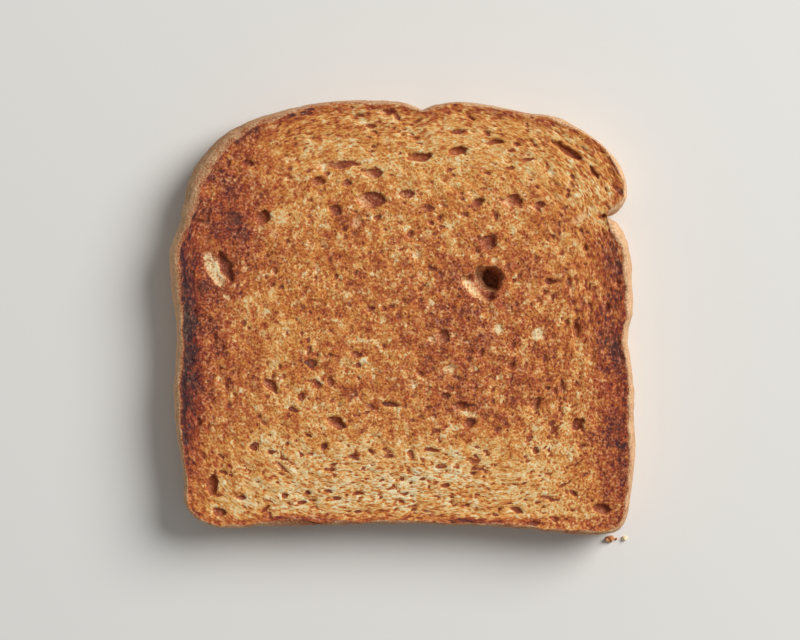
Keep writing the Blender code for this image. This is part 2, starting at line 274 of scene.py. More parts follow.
def scattered(count, seed, smallest, largest, paleness):
    """Hollows at random places, fewer in the middle and most of them small, each lying along the grain. They
    are narrower near the crust, paler in the crown, and darker in the foot with browner crumb and painted
    shade."""
    draw = np.random.default_rng(seed)
    x, y = draw.uniform(-SCATTER_X, SCATTER_X, count), draw.uniform(-SCATTER_Y, SCATTER_Y, count)
    share = np.clip(ring_share(x, y), 0, 1)
    length = smallest * (largest / smallest) ** (draw.random(count) ** 1.7)
    width = length * (0.8 - 0.62 * share**1.5 * draw.uniform(0.7, 1.1, count))
    turn = grain_turn(x, y) + draw.normal(0, 1, count) * (0.4 - 0.28 * share)
    depth = length * draw.uniform(0.15, 0.35, count)
    kept = draw.random(count) < 0.25 + 0.75 * share**2
    paleness = paleness * draw.random(count) ** 2 + 0.3 * rising(y, 10, 20) - 0.25 * rising(-y, 26, 8)
    hollows = np.stack([x, y, length, width, turn, depth, paleness], axis=1)
    return hollows[kept]


# The bubbles that can be told apart, in millimetres and degrees: x, y, length, width, turn, depth, paleness.
# One with a paleness below 0 has a darker floor than the rest: browner crumb, and painted shade in a deep
# one.
CROWN_BUBBLES = (
    (-8.0, 47.8, 3.2, 1.3, 0, 0.7, 0.1), (-10.2, 48.9, 3.6, 1.2, 0, 0.25, 0.9),
    (-11.0, 50.2, 4.0, 1.0, 0, 0.6, 0.1), (-3.6, 51.2, 4.4, 1.5, 4, 0.7, 0.5),
    (-1.2, 50.0, 2.6, 1.3, -40, 0.5, 0.1), (-7.1, 42.7, 1.8, 0.7, 0, 0.5, 0.0),
    (-16.0, 38.2, 11.5, 1.9, 2, 0.5, 0.5), (-19.8, 37.2, 2.2, 1.6, 30, 0.25, 1.0),
    (-7.5, 36.0, 4.6, 2.4, 0, 0.6, 0.4), (-21.0, 34.0, 3.2, 2.1, -10, 0.9, 0.1),
    (-14.0, 33.6, 2.3, 1.6, 20, 0.6, 0.1), (-16.8, 26.9, 3.1, 2.8, 0, 1.0, 0.1),
    (-8.0, 29.2, 8.0, 4.4, -4, 1.0, 0.5), (-14.6, 21.9, 1.8, 1.6, 0, 0.6, 0.1),
    (-12.0, 21.0, 1.3, 1.1, 0, 0.5, 0.0), (-11.4, 24.0, 3.6, 2.4, 60, 0.25, 0.4),
    (-38.9, 38.6, 3.2, 1.9, -8, 0.8, 0.0), (-43.8, 38.6, 1.7, 1.4, 30, 0.6, 0.0),
    (-42.4, 39.8, 0.9, 1.7, 10, 0.25, 1.0), (-43.5, 34.2, 1.4, 1.2, 0, 0.25, 0.8),
    (-35.0, 25.0, 3.9, 3.5, 68, 1.4, 0.1), (-35.8, 22.3, 2.6, 1.4, 10, 0.25, 1.0),
    (-38.5, 46.5, 5.0, 1.2, 26, 0.5, 0.0), (4.1, 43.7, 2.6, 0.7, 0, 0.5, 0.0),
    (4.1, 40.1, 7.0, 2.1, 5, 1.3, 0.15), (13.7, 41.6, 5.7, 1.9, 7, 1.2, 0.1),
    (13.4, 46.3, 4.0, 1.0, 2, 0.5, 0.1), (23.2, 43.9, 4.1, 1.7, 0, 1.1, 0.1),
    (28.4, 43.2, 2.6, 1.0, 0, 0.6, 0.1), (33.0, 43.1, 1.4, 0.7, -10, 0.5, 0.0),
    (40.9, 41.9, 9.4, 2.0, -34, 1.3, 0.1), (47.9, 36.1, 4.6, 1.2, -48, 0.9, 0.1),
    (31.2, 39.5, 2.7, 1.0, 0, 0.5, 0.1), (26.9, 37.6, 2.3, 1.0, -10, 0.5, 0.0),
    (11.8, 36.9, 2.3, 1.2, 0, 0.5, 0.2), (21.2, 35.9, 2.1, 1.1, 0, 0.5, 0.1),
    (18.5, 28.5, 4.0, 2.4, 22, 0.9, 0.1), (27.4, 29.0, 5.4, 3.0, 4, 1.1, 0.5),
    (34.2, 28.2, 3.1, 1.6, -10, 0.8, 0.1), (1.0, 30.7, 4.7, 2.3, 0, 0.5, 0.3),
    (6.3, 27.3, 4.1, 1.7, 10, 0.5, 0.3), (9.3, 24.6, 1.6, 1.4, 0, 0.6, 0.1),
    (9.5, 22.6, 1.5, 1.2, 0, 0.5, 0.0), (2.0, 20.9, 1.7, 1.5, 0, 0.5, 0.1),
    (41.3, 30.4, 1.9, 1.3, 100, 0.6, 0.1), (40.5, 27.2, 1.6, 0.9, 0, 0.5, 0.0),
    (42.4, 35.2, 1.6, 1.0, -40, 0.5, 0.1), (23.2, 25.2, 2.1, 1.3, 80, 0.7, 0.0),
    (37.0, 36.0, 2.6, 1.3, -20, 0.25, 0.9), (32.0, 35.4, 2.2, 1.2, 0, 0.25, 0.8),
    (17.2, 31.0, 2.2, 1.4, 0, 0.25, 0.9), (44.3, 24.8, 5.6, 2.6, 24, 0.25, 0.4),
    (-51.0, 24.0, 2.8, 0.7, -4, 0.6, 0.1), (49.8, 25.2, 2.4, 0.9, 3, 1.0, 0.0),
)
MIDDLE_BUBBLES = (
    (19.0, 7.3, 10.5, 5.0, -36, 2.2, 1.0), (20.8, 9.4, 8.2, 6.2, -50, 5.1, 0.4),
    (22.2, 9.8, 6.8, 5.8, -58, 8.6, 0.15), (-47.1, 11.9, 10.0, 3.9, -64, 0.29, 1.0),
    (-44.4, 12.8, 8.4, 3.0, -68, 1.2, -0.1), (-43.8, 4.9, 2.2, 1.2, -60, 0.28, 1.0),
    (-42.0, 24.4, 3.6, 3.0, 20, 0.25, -0.5), (7.0, 3.6, 2.6, 1.8, 70, 0.25, 0.8),
    (26.6, 2.6, 1.6, 1.4, 0, 0.25, 0.7), (29.0, 8.2, 1.6, 0.9, 0, 0.25, 0.9),
    (36.6, 4.9, 1.6, 1.2, 90, 0.25, 0.7), (23.0, 14.2, 1.6, 1.4, 90, 0.25, 0.8),
    (3.6, 15.6, 3.0, 2.4, 90, 0.25, 0.8), (4.2, 10.6, 2.2, 1.8, 60, 0.25, 0.7),
    (42.2, 6.6, 3.2, 1.2, 90, 0.25, 0.8), (7.2, -5.6, 2.2, 1.8, 0, 0.25, 0.9),
    (12.9, -4.3, 1.6, 1.4, 0, 0.25, 0.8), (17.9, -13.0, 1.6, 1.2, 0, 0.25, 0.8),
    (26.6, -14.9, 1.5, 1.2, 0, 0.25, 0.8), (-7.3, -15.0, 1.5, 1.3, 0, 0.25, 0.9),
    (-3.4, -15.2, 1.4, 1.2, 90, 0.25, 0.9), (-39.5, 12.5, 1.6, 1.3, 0, 0.25, 0.9),
    (-36.0, 10.0, 2.0, 1.4, 30, 0.25, 0.8), (-21.3, 12.1, 2.6, 1.6, 80, 0.25, 0.7),
    (-8.1, 2.1, 2.2, 1.6, 0, 0.6, 0.2), (21.4, 18.6, 4.0, 3.6, 50, 1.2, 0.1),
    (36.6, 9.0, 2.2, 2.0, 0, 1.0, -0.5), (35.6, 6.2, 1.7, 1.1, 90, 0.6, 0.0),
    (45.6, 17.6, 2.1, 1.1, 90, 0.7, 0.1), (45.6, 13.2, 1.1, 1.0, 0, 0.5, 0.1),
    (46.2, 21.0, 1.6, 0.7, -45, 0.5, 0.1), (51.1, 2.5, 2.6, 1.4, 90, 0.8, 0.0),
    (46.6, 3.0, 2.5, 1.0, 90, 0.6, 0.1), (-46.9, -4.7, 2.5, 0.9, 90, 0.6, 0.0),
    (-45.6, -12.9, 1.3, 1.1, 90, 0.5, 0.1), (-44.2, -17.7, 2.7, 0.9, 90, 0.5, 0.4),
    (-23.0, -11.4, 3.5, 1.7, -20, 0.7, -0.4), (-23.5, -15.8, 1.7, 0.9, 0, 0.5, 0.1),
    (-11.3, -12.0, 2.1, 1.3, -10, 0.6, 0.1), (-11.7, -9.3, 3.1, 1.6, -10, 0.5, 0.3),
    (-32.8, -17.0, 5.6, 2.0, -52, 0.8, 0.1), (10.3, -5.0, 4.0, 3.2, 70, 0.9, 0.3),
    (16.6, -8.5, 2.6, 1.3, 0, 0.5, 0.1), (11.5, -13.0, 3.6, 2.6, 12, 0.29, 0.75),
    (27.7, -6.9, 1.5, 1.0, 80, 0.5, 0.0), (23.6, -3.0, 3.4, 2.8, 20, 0.25, 1.0),
    (33.6, -4.0, 3.8, 3.0, 70, 0.25, 1.0), (43.4, -2.8, 5.1, 1.6, 94, 1.0, 0.2),
    (2.7, -16.7, 2.6, 2.0, 0, 0.25, 0.9), (6.1, -17.9, 1.8, 1.3, 0, 0.25, 0.8),
    (24.0, -15.0, 2.0, 1.5, 30, 0.25, 0.8), (39.8, -17.3, 4.1, 1.4, 92, 0.7, 0.4),
    (36.2, -17.7, 2.0, 1.1, 0, 0.5, 0.1),
)
FOOT_BUBBLES = (
    (17.0, -24.3, 4.2, 1.6, -15, 0.25, 1.0), (-27.3, -23.1, 3.1, 1.4, -20, 0.6, -0.3),
    (-15.6, -21.7, 1.5, 0.8, 0, 0.4, 0.1), (-3.2, -21.8, 4.1, 1.4, -8, 1.1, -0.5),
    (-7.9, -22.7, 2.7, 1.4, 0, 0.5, 0.5), (-16.5, -26.4, 5.6, 2.6, -30, 1.1, 0.2),
    (-6.3, -29.9, 3.1, 0.6, -8, 0.4, 0.1), (-36.3, -25.0, 1.3, 1.2, 0, 0.5, 0.1),
    (-51.0, -26.0, 2.7, 1.4, 90, 0.8, -0.4), (-48.8, -27.2, 2.1, 0.9, 80, 0.5, 0.0),
    (-19.8, -32.1, 2.1, 1.9, 0, 0.7, -0.2), (-29.0, -31.4, 1.3, 1.2, 0, 0.5, 0.2),
    (-23.3, -34.1, 2.1, 1.2, 0, 0.5, 0.4), (-36.7, -31.6, 1.7, 0.9, -40, 0.5, 0.0),
    (-3.3, -35.0, 3.5, 0.8, -4, 0.5, 0.1), (-47.6, -41.9, 5.6, 3.0, 86, 1.4, 0.1),
    (-30.2, -37.6, 5.7, 1.1, -43, 0.5, 0.3), (-36.3, -41.0, 1.6, 0.8, -20, 0.5, 0.0),
    (-34.8, -38.7, 1.5, 0.9, -30, 0.5, 0.0), (-39.4, -37.5, 1.5, 0.9, -45, 0.5, 0.1),
    (-42.9, -39.5, 1.5, 0.9, -50, 0.5, 0.1), (-45.8, -48.8, 3.8, 2.5, -14, 1.0, 0.1),
    (-40.0, -45.0, 2.3, 1.3, 15, 0.8, 0.0), (-23.8, -44.0, 1.6, 1.2, 0, 0.7, 0.0),
    (-29.6, -44.5, 2.1, 1.1, 0, 0.6, 0.0), (-18.8, -43.5, 2.1, 1.0, -20, 0.6, 0.0),
    (-25.4, -46.2, 2.3, 1.0, 0, 0.6, 0.0), (-11.0, -43.9, 3.0, 1.1, 0, 0.7, 0.0),
    (-4.0, -42.9, 5.2, 0.6, 0, 0.4, 0.0), (-34.4, -47.9, 3.2, 1.1, 35, 0.7, 0.0),
    (-32.9, -49.5, 2.1, 1.0, 80, 0.5, 0.0), (-9.0, -48.5, 2.1, 0.7, 0, 0.4, 0.0),
    (-0.2, -46.0, 1.7, 0.9, 0, 0.5, 0.0), (14.4, -22.1, 4.8, 2.0, 0, 1.3, 0.3),
    (16.6, -26.7, 3.4, 2.6, 20, 1.0, 0.2), (33.5, -21.4, 3.7, 2.1, 62, 1.0, 0.3),
    (43.7, -26.6, 3.1, 2.7, 30, 1.3, -0.3), (37.5, -28.3, 3.5, 1.5, 42, 0.8, 0.1),
    (33.2, -33.3, 1.8, 1.5, 0, 0.7, 0.1), (45.0, -32.0, 2.1, 1.1, 20, 0.6, 0.0),
    (2.0, -34.6, 3.1, 1.3, -60, 0.6, 0.2), (6.7, -33.2, 4.1, 0.9, 0, 0.5, 0.1),
    (9.5, -37.2, 3.6, 1.1, 0, 0.5, 0.1), (17.7, -35.9, 4.2, 1.4, 0, 0.5, 0.4),
    (17.3, -38.7, 1.9, 0.7, 0, 0.4, 0.0), (20.5, -38.8, 2.1, 0.7, 0, 0.4, 0.0),
    (10.6, -42.0, 2.7, 1.0, 0, 0.6, 0.0), (6.5, -42.4, 1.2, 0.9, 0, 0.5, 0.0),
    (42.8, -44.1, 2.5, 1.4, -30, 0.8, 0.0), (36.7, -45.4, 6.1, 0.9, -12, 0.5, 0.1),
    (13.2, -47.0, 2.1, 0.8, 0, 0.5, 0.0), (28.3, -48.1, 4.2, 1.3, -15, 0.7, 0.0),
    (24.4, -48.2, 1.4, 0.8, 0, 0.5, 0.0), (49.6, -47.8, 4.6, 2.6, -15, 1.2, 0.1),
    (38.3, -50.4, 1.7, 1.1, 0, 0.5, 0.0), (42.4, -48.4, 1.5, 0.9, 0, 0.5, 0.0),
    (32.8, -51.7, 3.2, 1.2, 0, 0.6, 0.1),
)
named = [
    (x, y, length, width, math.radians(turn), depth, paleness)
    for x, y, length, width, turn, depth, paleness in CROWN_BUBBLES + MIDDLE_BUBBLES + FOOT_BUBBLES
]
fine = scattered(5200, seed=5, smallest=0.7, largest=1.7, paleness=0.3)
coarse = scattered(420, seed=6, smallest=1.3, largest=2.6, paleness=0.6)
face_hollows = np.vstack([fine, coarse, named])
face_sink, face_opening, face_dark, face_pale = press(face_hollows)
under_fine = scattered(1500, seed=7, smallest=1.2, largest=2.4, paleness=0.3)
under_coarse = scattered(90, seed=8, smallest=2.6, largest=5.0, paleness=0.7)
under_hollows = np.vstack([under_fine, under_coarse])
under_sink, under_opening, under_dark, under_pale = press(under_hollows)
strands = drawn_out(field_mottle(0.55, 21), length=2.6)
lumps = drawn_out(field_mottle(2.2, 22), length=4.0)

# The browning. The toaster's wires stand nearest the slice's sides, so both sides have charred, the middle is
# an even orange brown, and the foot, which stood below the wires, is still golden.

BASE_BROWNING = 0.475
# What the floor of a hollow is painted towards: browner crumb and painted shade.
HOLLOW_BROWNING_AND_SHADE = 0.8
# In millimetres and degrees: x, y, half width, half height, turn, and how much browner or paler it is.
SCORCHES = (
    (-53.6, 0.0, 2.8, 21.0, 0, 0.38),
    (-54.0, -28.0, 4.3, 19.0, 3, 0.24),
    (-47.5, 4.0, 8.5, 38.0, 0, 0.155),
    (-46.0, 33.0, 9.0, 13.0, -38, 0.08),
    (-42.0, 24.5, 5.0, 6.0, 0, 0.20),
    (-37.0, 29.0, 8.0, 16.0, -10, 0.08),
    (-28.0, 2.0, 4.5, 24.0, 0, -0.05),
    (53.4, -20.0, 4.1, 30.0, 1, 0.26),
    (50.5, 2.0, 5.5, 32.0, 0, 0.05),
    (50.0, -36.0, 6.0, 16.0, 6, 0.12),
    (47.5, 27.0, 6.0, 5.5, 0, -0.10),
    (51.3, 11.0, 2.4, 11.0, 0, 0.06),
    (19.0, -7.0, 20.0, 21.0, 0, 0.12),
    (8.0, 42.5, 38.0, 11.5, 0, -0.13),
    (44.0, 38.0, 10.0, 8.0, -35, -0.09),
    (34.0, 31.0, 7.0, 5.0, 0, 0.05),
    (-44.0, -47.0, 9.0, 5.0, 0, -0.08),
    (-2.0, -41.8, 48.0, 11.2, 0, -0.24),
    (-1.0, -51.4, 50.0, 1.1, 0, 0.18),
    (-27.0, -50.6, 8.0, 0.9, 1, 0.3),
    (18.5, -51.2, 6.0, 0.8, -2, 0.3),
)


def browning_at(x, y):
    """How brown the crumb is, from 0, untoasted, to 1, charred: a base and all the scorches. Each is a bell
    with a flat top, exp(-root(across^4 + up^4)), across and up in its half sizes."""
    browning = np.full(np.shape(x), BASE_BROWNING)
    for middle_x, middle_y, half_width, half_height, turn, change in SCORCHES:
        dx, dy = x - middle_x, y - middle_y
        cosine, sine = math.cos(math.radians(turn)), math.sin(math.radians(turn))
        across = (dx * cosine + dy * sine) / half_width
        up = (dy * cosine - dx * sine) / half_height
        browning += change * np.exp(-(across**4 + up**4) ** 0.5)
    return browning


# How far a pattern is drawn out along the crust.
GRAIN_STRETCH = 3.2


def grain_place(x, y, z):
    """A place that follows the grain: its bearing, laid on a circle GRAIN_STRETCH times smaller than the
    slice, and the size of its ring less its height."""
    bearing = np.arctan2(y / HALF_HEIGHT, x / HALF_WIDTH)
    radius = HALF_HEIGHT / GRAIN_STRETCH
    ring = HALF_HEIGHT * ring_share(x, y)
    return np.stack([radius * np.cos(bearing), radius * np.sin(bearing), ring - z], axis=-1)


def fibres_at(x, y):
    """How far the crumb is drawn out into fibres: not in the middle and fully near the crust, but less on the
    left, on the lower right and in the foot's corners. Right beside the left crust it is full again."""
    left = rising(-x, 28, 10) * rising(y, -34, 10) * rising(x, -53, 3)
    right = rising(x, 28, 10) * rising(-y, 0, 10)
    start, width = np.where(y > 0, 30, 24), np.where(y > 0, 18, 14)
    corner = np.where(y < 0, np.abs(np.sin(2 * grain_turn(x, y))), 0) * np.where(x < 0, 0.5, 1)
    drawn_share = rising(HALF_HEIGHT * ring_share(x, y), start, width)
    return drawn_share * (1 - 0.8 * left) * (1 - 0.5 * right) * (1 - 0.6 * corner)


def strength_at(x, y):
    """How strongly the web of cell walls shows: most on the lower right, and more along the foot."""
    lower_right = rising(x, 15, 20) * rising(-y, -8, 16)
    foot = rising(-y, 24, 10)
    return 1 + 0.24 * np.maximum(lower_right, 0.6 * foot)


def patches_at(x, y):
    """How strongly the browning drifts in patches: less in most of the crown, the foot and the far left."""
    crown = rising(y, 22, 12) * rising(x, -25, 30)
    foot = rising(-y, 28, 8)
    beside_left = rising(-x, 49, 4)
    return 1 - 0.65 * crown - 0.45 * foot - 0.5 * beside_left


# The slice itself, one closed skin: the toasted face, the crust's wall and the underside it lies on. The
# crust is the thin tough skin that baked hard against the tin, and it rolls over to the cut face.

# Sizes are in millimetres until a mesh is made, when they are multiplied by this.
MM = 0.001
THICKNESS = 12.5
# The wall is widest at BELLY_HEIGHT, rolls over to the face above it and draws in by TUCK below it.
BELLY_HEIGHT = 0.42 * THICKNESS
TUCK = 1.2
ROLL_ANGLES = np.radians(np.linspace(90, 0, 12))
TUCK_ANGLES = np.radians(np.linspace(12, 81, 6))
# The roll is plumper than a quarter round: its sine and cosine are raised to this power.
PLUMPNESS = 0.72
# How many times points are eased: over a grid, along the rim and round the underside.
EASINGS, RIM_EASINGS, UNDER_EASINGS = 400, 15, 24
# How far the cut face lies below the top of the roll.
FACE_SINK = 0.3
# How far the strands and the lumps swing on average, and how far one may stand over the roll.
STRAND_HEIGHT, LUMP_HEIGHT, TALLEST = 0.055, 0.07, 0.1
# The crease between the rolled crust and the crumb. It is twice as deep on the left.
CREASE_DEPTH = 0.06
# How much paler a strand that stands up is, and how much browner a lump.
STRAND_PALENESS, LUMP_BROWNING = 0.03, 0.02
# Bearing from the middle in degrees, and how brown the crust is there, from 0, tan, to 1, scorched: at its
# upper rim and on its side. On the shaded left the side is given low, pale numbers: painted warm bounce
# light.
CRUST_BROWNING_AND_BOUNCE = (
    (0, 0.34, 0.32),
    (24, 0.32, 0.30),
    (34, 0.20, 0.25),
    (45, 0.36, 0.30),
    (60, 0.46, 0.35),
    (100, 0.44, 0.38),
    (135, 0.58, 0.44),
    (150, 0.56, 0.32),
    (165, 0.62, 0.12),
    (192, 0.62, 0.12),
    (205, 0.42, 0.18),
    (238, 0.50, 0.38),
    (241, 1.00, 0.48),
    (248, 1.00, 0.48),
    (252, 0.52, 0.42),
    (305, 0.56, 0.44),
    (322, 0.50, 0.38),
    (335, 0.36, 0.32),
    (360, 0.34, 0.32),
)


def spread_over(loop, squares):
    """Coons patch: a point lies evenly between left and right, plus evenly between foot and top, less evenly
    between the four corners. Each inner point is then eased to the middle of its four neighbours, EASINGS
    times, which evens out its squares."""
    closed = np.vstack([loop, loop[:1]])
    left = closed[squares::-1][None]
    foot = closed[squares : 2 * squares + 1][:, None]
    right = closed[2 * squares : 3 * squares + 1][None]
    top = closed[3 * squares :][::-1][:, None]
    u = np.linspace(0, 1, squares + 1)[:, None, None]
    v = np.linspace(0, 1, squares + 1)[None, :, None]
    corners = (1 - u) * (1 - v) * foot[0] + u * (1 - v) * foot[-1] + (1 - u) * v * top[0] + u * v * top[-1]
    grid = (1 - v) * foot + v * top + (1 - u) * left + u * right - corners
    for _ in range(EASINGS):
        grid[1:-1, 1:-1] = (grid[:-2, 1:-1] + grid[2:, 1:-1] + grid[1:-1, :-2] + grid[1:-1, 2:]) / 4
    return grid


def border_of(squares):
    """The numbers of a grid's border points, down its left side, along the foot, up the right and back."""
    k = np.arange(squares)
    i = np.concatenate([0 * k, k, 0 * k + squares, squares - k])
    j = np.concatenate([squares - k, 0 * k, k, 0 * k + squares])
    return i * (squares + 1) + j


def squares_of(squares):
    """The four corners of each square of a grid, anticlockwise seen from above."""
    number = np.arange((squares + 1) ** 2).reshape(squares + 1, squares + 1)
    corners = (number[:-1, :-1], number[1:, :-1], number[1:, 1:], number[:-1, 1:])
    return np.stack([corner.ravel() for corner in corners], axis=1)


def rows_in(squares):
    """How many rows each grid point lies in from the crust."""
    k = np.minimum(np.arange(squares + 1), squares - np.arange(squares + 1))
    return np.minimum(k[:, None], k[None])


ring_points = 4 * FACE_SQUARES
wall_shape = (len(ROLL_ANGLES) + len(TUCK_ANGLES), ring_points)
# How far apart the wall's rings are, and the points along one, on average.
WALL_STEP = (0.85, 0.42)
broad_wrinkles = mottle(wall_shape, WALL_STEP, (6.0, 5.0), 31)
fine_wrinkles = mottle(wall_shape, WALL_STEP, (1.2, 1.2), 32)
wrinkles = 0.07 * broad_wrinkles + 0.04 * fine_wrinkles


def uneven_ring(patch, seed):
    """An uneven number for each point round the slice, patch millimetres long."""
    return mottle((1, ring_points), WALL_STEP, (1, patch), seed)[0, :, None]


def eased(loop, times):
    """A closed line, each point moved half of the way to the middle of its two neighbours, so that it never
    doubles back."""
    for _ in range(times):
        loop = (np.roll(loop, 1, axis=0) + 2 * loop + np.roll(loop, -1, axis=0)) / 4
    return loop


# The sides bulge and dent a little, and the knife left the rim between crust and crumb ragged.
edge = edge + inward * (0.05 * uneven_ring(5.0, 34) + 0.04 * uneven_ring(1.6, 35))
ragged = 0.20 * uneven_ring(1.2, 33) + 0.18 * uneven_ring(4.0, 36)
rim = eased(edge + inward * (roll + ragged), RIM_EASINGS)
lean = 1 - np.clip(np.cos(ROLL_ANGLES), 0, 1) ** PLUMPNESS
rise = np.sin(ROLL_ANGLES) ** PLUMPNESS
wall = np.zeros(wall_shape + (3,))
for ring, (share, height) in enumerate(zip(lean, BELLY_HEIGHT + (THICKNESS - BELLY_HEIGHT) * rise)):
    wall[ring, :, :2] = edge + (rim - edge) * share + inward * wrinkles[ring, :, None]
    wall[ring, :, 2] = height
for ring, angle in enumerate(TUCK_ANGLES, len(ROLL_ANGLES)):
    wall[ring, :, :2] = edge + inward * (TUCK * (1 - math.cos(angle)) + wrinkles[ring, :, None])
    wall[ring, :, 2] = BELLY_HEIGHT * (1 - math.sin(angle))

face = spread_over(wall[0, :, :2], FACE_SQUARES)
x, y = face[..., 0], face[..., 1]
# The cut face falls away from the roll over six rows, and hollows are cut short in the outer two.
inland = np.clip(rows_in(FACE_SQUARES) / 6, 0, 1)
relief = FACE_SINK * inland + at(face_sink, x, y) * np.clip(inland * 3 + 0.2, 0, 1)
relief -= STRAND_HEIGHT * at(strands, x, y) + LUMP_HEIGHT * at(lumps, x, y) * inland


def band(row, spread):
    """A bell over the face's rows, highest at the given row from the rim: exp(-((rows - row) / spread)^2)."""
    return np.exp(-(((rows_in(FACE_SQUARES) - row) / spread) ** 2))


leftward = rising(-x, 20, 20)
crease = band(1.8, 1.2)
relief += (CREASE_DEPTH + CREASE_DEPTH * leftward) * crease
face_height = np.minimum(THICKNESS - relief, THICKNESS + TALLEST)
face_points = np.dstack([x, y, face_height]).reshape(-1, 3)

UNDER_SQUARES = FACE_SQUARES // 2
under_edge = eased(edge + inward * TUCK, UNDER_EASINGS)[::2]
under = spread_over(under_edge, UNDER_SQUARES)
under_x, under_y = under[..., 0], under[..., 1]
under_inland = np.clip(rows_in(UNDER_SQUARES) / 3, 0, 1)
under_height = at(under_sink, under_x, under_y) * under_inland
under_points = np.dstack([under_x, under_y, under_height]).reshape(-1, 3)

# The wall's first ring is the face's border, and its last is sewn to the underside's, which has half as many
# points, with three triangles at each.
wall_first = len(face_points)
under_first = wall_first + (wall_shape[0] - 1) * ring_points
points = np.vstack([face_points, wall[1:].reshape(-1, 3), under_points])
wall_numbers = np.arange(wall_first, under_first).reshape(-1, ring_points)
rings = np.vstack([border_of(FACE_SQUARES)[None], wall_numbers])
ahead = np.roll(rings, -1, axis=1)
wall_faces = np.stack([rings[:-1], rings[1:], ahead[1:], ahead[:-1]], axis=2).reshape(-1, 4)
foot_ring = under_first + border_of(UNDER_SQUARES)
foot_ahead = np.roll(foot_ring, -1)
first, middle, last = rings[-1, ::2], rings[-1, 1::2], np.roll(rings[-1, ::2], -1)
seam = np.vstack(
    [
        np.stack([first, foot_ring, middle], axis=1),
        np.stack([middle, foot_ring, foot_ahead], axis=1),
        np.stack([middle, foot_ahead, last], axis=1),
    ]
)
face_faces = squares_of(FACE_SQUARES)
under_faces = squares_of(UNDER_SQUARES)[:, ::-1] + under_first

skin_faces = face_faces.tolist() + under_faces.tolist() + wall_faces.tolist() + seam.tolist()
toast_mesh = bpy.data.meshes.new("toast_skin")
toast_mesh.from_pydata((points * MM).tolist(), [], skin_faces)
# The first material, crumb, is on the face and the underside, and the second, crust, on the wall and seam.
crust_count = len(wall_faces) + len(seam)
slots = np.repeat([0, 1], [len(toast_mesh.polygons) - crust_count, crust_count])
toast_mesh.polygons.foreach_set("material_index", slots)
toast_mesh.polygons.foreach_set("use_smooth", np.ones(len(toast_mesh.polygons), bool))


def keep(mesh, name, values):
    """Keeps one number, or one vector, for each point of the mesh, for its materials to read."""
    values = np.asarray(values, np.float32)
    kind, entry = ("FLOAT", "value") if values.ndim == 1 else ("FLOAT_VECTOR", "vector")
    mesh.attributes.new(name, kind, "POINT").data.foreach_set(entry, values.ravel())


crownward = rising(y, 18, 14) * rising(x, -34, 10) * (1 - 0.45 * rising(x, 38, 8))
rim_band = band(3.0, 3.6) * (0.8 + 0.3 * np.clip(at(lumps, x, y), -1, 1))
face_browning_and_crease_shade = browning_at(x, y) - STRAND_PALENESS * at(strands, x, y) + LUMP_BROWNING * at(lumps, x, y)
# The crease is painted darker, more on the left: browner crumb and painted shade in the crease.
face_browning_and_crease_shade += (0.05 + 0.12 * crownward) * rim_band + (0.05 + 0.07 * leftward) * crease
under_browning = browning_at(-under_x, under_y) - STRAND_PALENESS * at(strands, under_x, under_y)
bearing = np.degrees(np.arctan2(edge[:, 1], edge[:, 0])) % 360
bearings, rim_browns, side_browns_and_bounce = zip(*CRUST_BROWNING_AND_BOUNCE)
rim_brown = np.interp(bearing, bearings, rim_browns)
side_brown_and_bounce = np.interp(bearing, bearings, side_browns_and_bounce)
# The rim's browning fades into the side's over the wall's first rings.
rim_share = np.exp(-((np.arange(1, wall_shape[0])[:, None] / 2.0) ** 2))
# The side's low numbers on the left paint warm bounce light on the shaded wall.
crust_browning_and_bounce = side_brown_and_bounce + (rim_brown - side_brown_and_bounce) * rim_share


def floor_of(browning, dark):
    """A hollow's floor: as brown as the crumb round it, then darker with depth, browner and in painted shade.
    """
    return browning + dark * np.maximum(HOLLOW_BROWNING_AND_SHADE - browning, 0)


# Hollow floors are painted darker: browner crumb and painted shade.
face_floor = floor_of(face_browning_and_crease_shade, at(face_dark, x, y))
under_floor = floor_of(under_browning, at(under_dark, under_x, under_y))
face_edges, under_edges = at(face_opening, x, y), at(under_opening, under_x, under_y)
face_cream, under_cream = at(face_pale, x, y), at(under_pale, under_x, under_y)
nothing = np.zeros(crust_browning_and_bounce.shape)
# The crust's patterns are strongest at its rim.
crust_strength = nothing + 0.55 + 0.45 * rim_share
for name, parts in (
    ("browning", (face_browning_and_crease_shade, crust_browning_and_bounce, under_browning)),
    ("floor", (face_floor, crust_browning_and_bounce, under_floor)),
    ("opening", (face_edges, nothing - 1, under_edges)),
    ("pale", (face_cream, nothing, under_cream)),
    ("fibres", (fibres_at(x, y), nothing, fibres_at(under_x, under_y))),
    ("strength", (strength_at(x, y), crust_strength, strength_at(under_x, under_y))),
    ("patches", (patches_at(x, y), nothing, patches_at(under_x, under_y))),
):
    keep(toast_mesh, name, np.concatenate([part.ravel() for part in parts]))
keep(toast_mesh, "grain", grain_place(*points.T))


def placed(name, data):
    """A new object in the scene, which holds a mesh, a light or a camera."""
    thing = bpy.data.objects.new(name, data)
    bpy.context.scene.collection.objects.link(thing)
    return thing


toast = placed("toasted_slice", toast_mesh)
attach(toast, "root")
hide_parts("toast")

# Toasted crumb: dried wheat starch, browned by heat, wholly matte. The eye sees a web of paler cell walls
# over redder gaps, the browning in drifts across it, and cream where a bubble's wall lay out of the heat. In
# a hollow the cream keeps to the lower left wall as painted light, and its floor holds painted shade.


def linear(colour):
    """An sRGB hex colour turned linear: small values over 12.92, the rest as ((c + 0.055) / 1.055)^2.4."""
    parts = [int(colour[start : start + 2], 16) / 255 for start in (1, 3, 5)]
    return [part / 12.92 if part <= 0.04045 else ((part + 0.055) / 1.055) ** 2.4 for part in parts] + [1.0]


